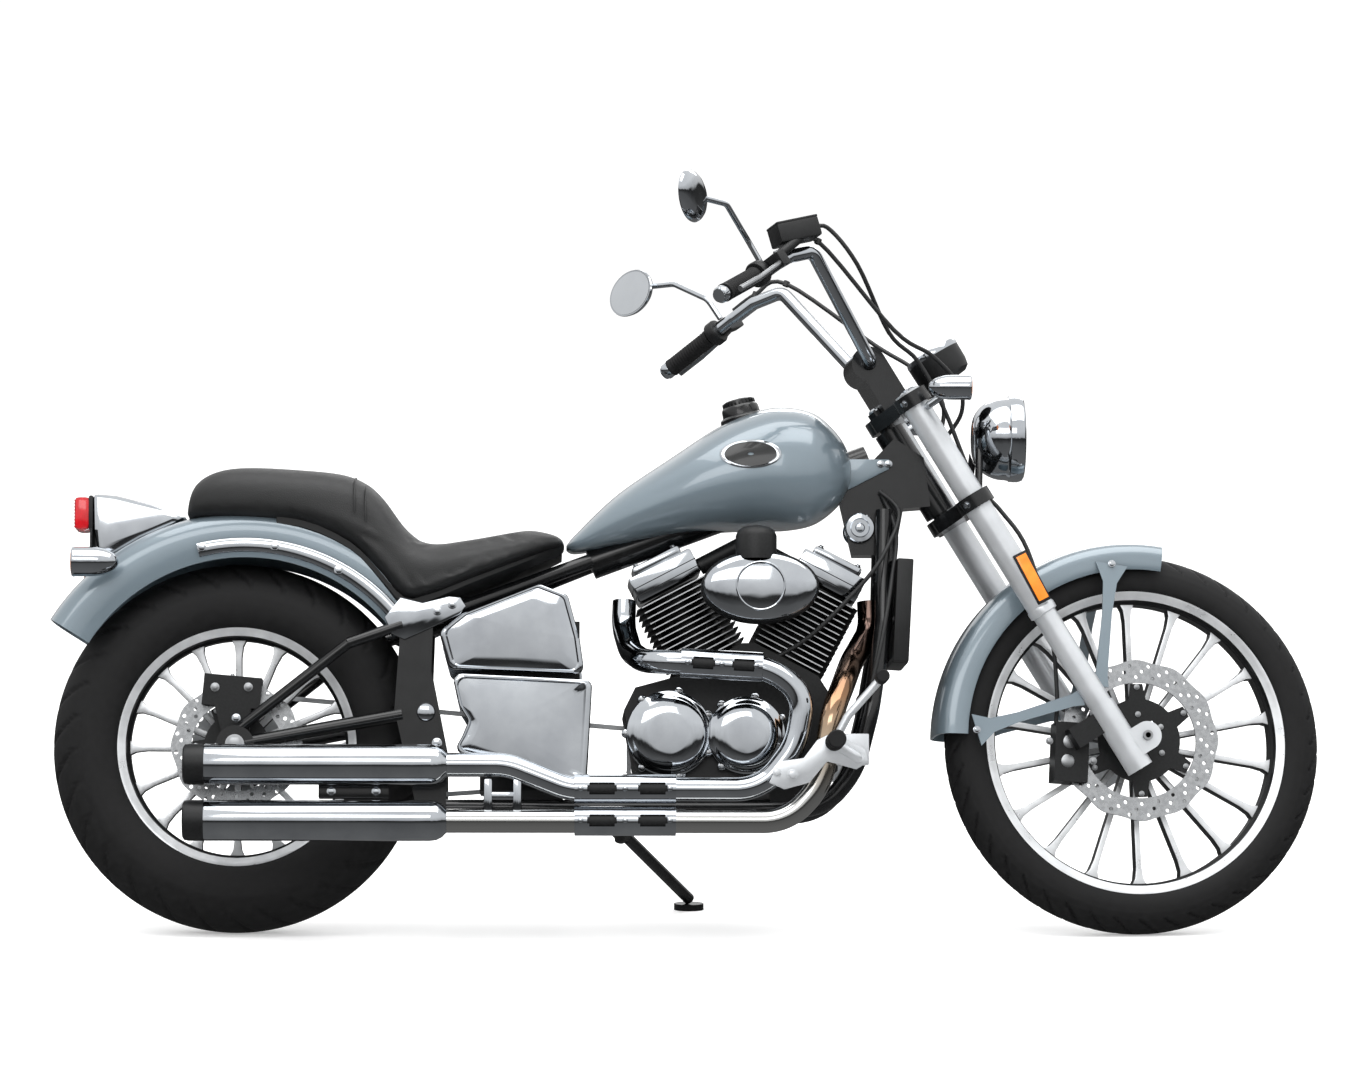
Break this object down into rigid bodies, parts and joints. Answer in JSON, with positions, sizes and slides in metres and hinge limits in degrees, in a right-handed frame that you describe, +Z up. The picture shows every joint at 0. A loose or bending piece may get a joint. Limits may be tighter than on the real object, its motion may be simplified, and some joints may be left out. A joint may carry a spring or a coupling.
{
  "type": "cruiser motorcycle",
  "caption": "Cruiser motorcycle with a V-twin engine, cast wheels, raked fork and twin right-side mufflers, leaning on its side stand.",
  "frame": {"origin": "on the ground, at the middle of the parked motorcycle's box", "axes": "+X ahead along the motorcycle, +Y to its left, +Z up; it leans to the left onto its side stand"},
  "size_m": [2.3184, 0.916, 1.3815],
  "materials": {
    "paint": "gloss blue-grey lacquer",
    "chrome": "polished chrome plate",
    "black_paint": "gloss black enamel",
    "fork_silver": "satin silver",
    "cast_black": "satin black over cast alloy",
    "rim": "machined faces on black cast alloy",
    "engine": "cast alloy",
    "steel": "brushed",
    "disc": "ground",
    "tyre": "moulded",
    "rubber": "moulded",
    "vinyl": "grained black seat cover",
    "plastic": "moulded"
  },
  "bodies": {
    "chassis": {"frame_spine": "black_paint", "frame_cradle": "black_paint", "frame_rear": "black_paint", "radiator": "cast_black", "crankcase": "engine", "engine_covers": "chrome", "cylinders": "cast_black", "air_cleaner": "chrome", "exhaust_pipes": "chrome", "mufflers": "chrome", "fuel_tank": "paint", "seat": "vinyl", "battery_box": "plastic", "side_covers": "chrome", "rear_fender": "paint", "fender_struts": "chrome", "tail_light": "chrome", "rear_signals": "chrome", "swingarm": "black_paint", "rear_axle": "steel", "rear_caliper": "cast_black", "foot_controls": "fork_silver", "drive_chain": "steel"},
    "steering": {"lower_yoke": "black_paint", "upper_yoke": "black_paint", "fork_tubes": "fork_silver", "fork_sliders": "fork_silver", "front_axle": "steel", "front_fender": "paint", "front_caliper": "cast_black", "headlight": "chrome", "speedometer": "plastic", "front_signals": "chrome", "handlebar": "chrome", "grips": "rubber", "right_controls": "plastic", "left_controls": "plastic", "mirrors": "chrome", "brake_hose": "rubber"},
    "front_wheel": {"front_tyre": "tyre", "front_rim": "rim", "front_disc": "disc"},
    "rear_wheel": {"rear_tyre": "tyre", "rear_rim": "rim", "rear_disc": "disc", "rear_sprocket": "steel"},
    "side_stand": {"side_stand": "black_paint"}
  },
  "joints": [
    {"name": "steering", "type": "hinge", "parent": "chassis", "child": "steering", "pos_m": [0.40885, -0.03679, 0.84105], "axis": [-0.5225, 0.1334, 0.8421], "range_deg": [-45.8, 30.2]},
    {"name": "front_wheel_spin", "type": "hinge", "parent": "steering", "child": "front_wheel", "pos_m": [0.80914, -0.10538, 0.34031], "axis": [-0.1157, 0.9675, -0.225], "continuous": true},
    {"name": "rear_wheel_spin", "type": "hinge", "parent": "chassis", "child": "rear_wheel", "pos_m": [-0.82225, -0.11737, 0.33229], "axis": [0, 0.9877, -0.1564], "continuous": true},
    {"name": "side_stand_swing", "type": "hinge", "parent": "chassis", "child": "side_stand", "pos_m": [-0.12225, 0.01016, 0.16586], "axis": [0.164, 0.6174, 0.7694], "range_deg": [0, 108]}
  ]
}
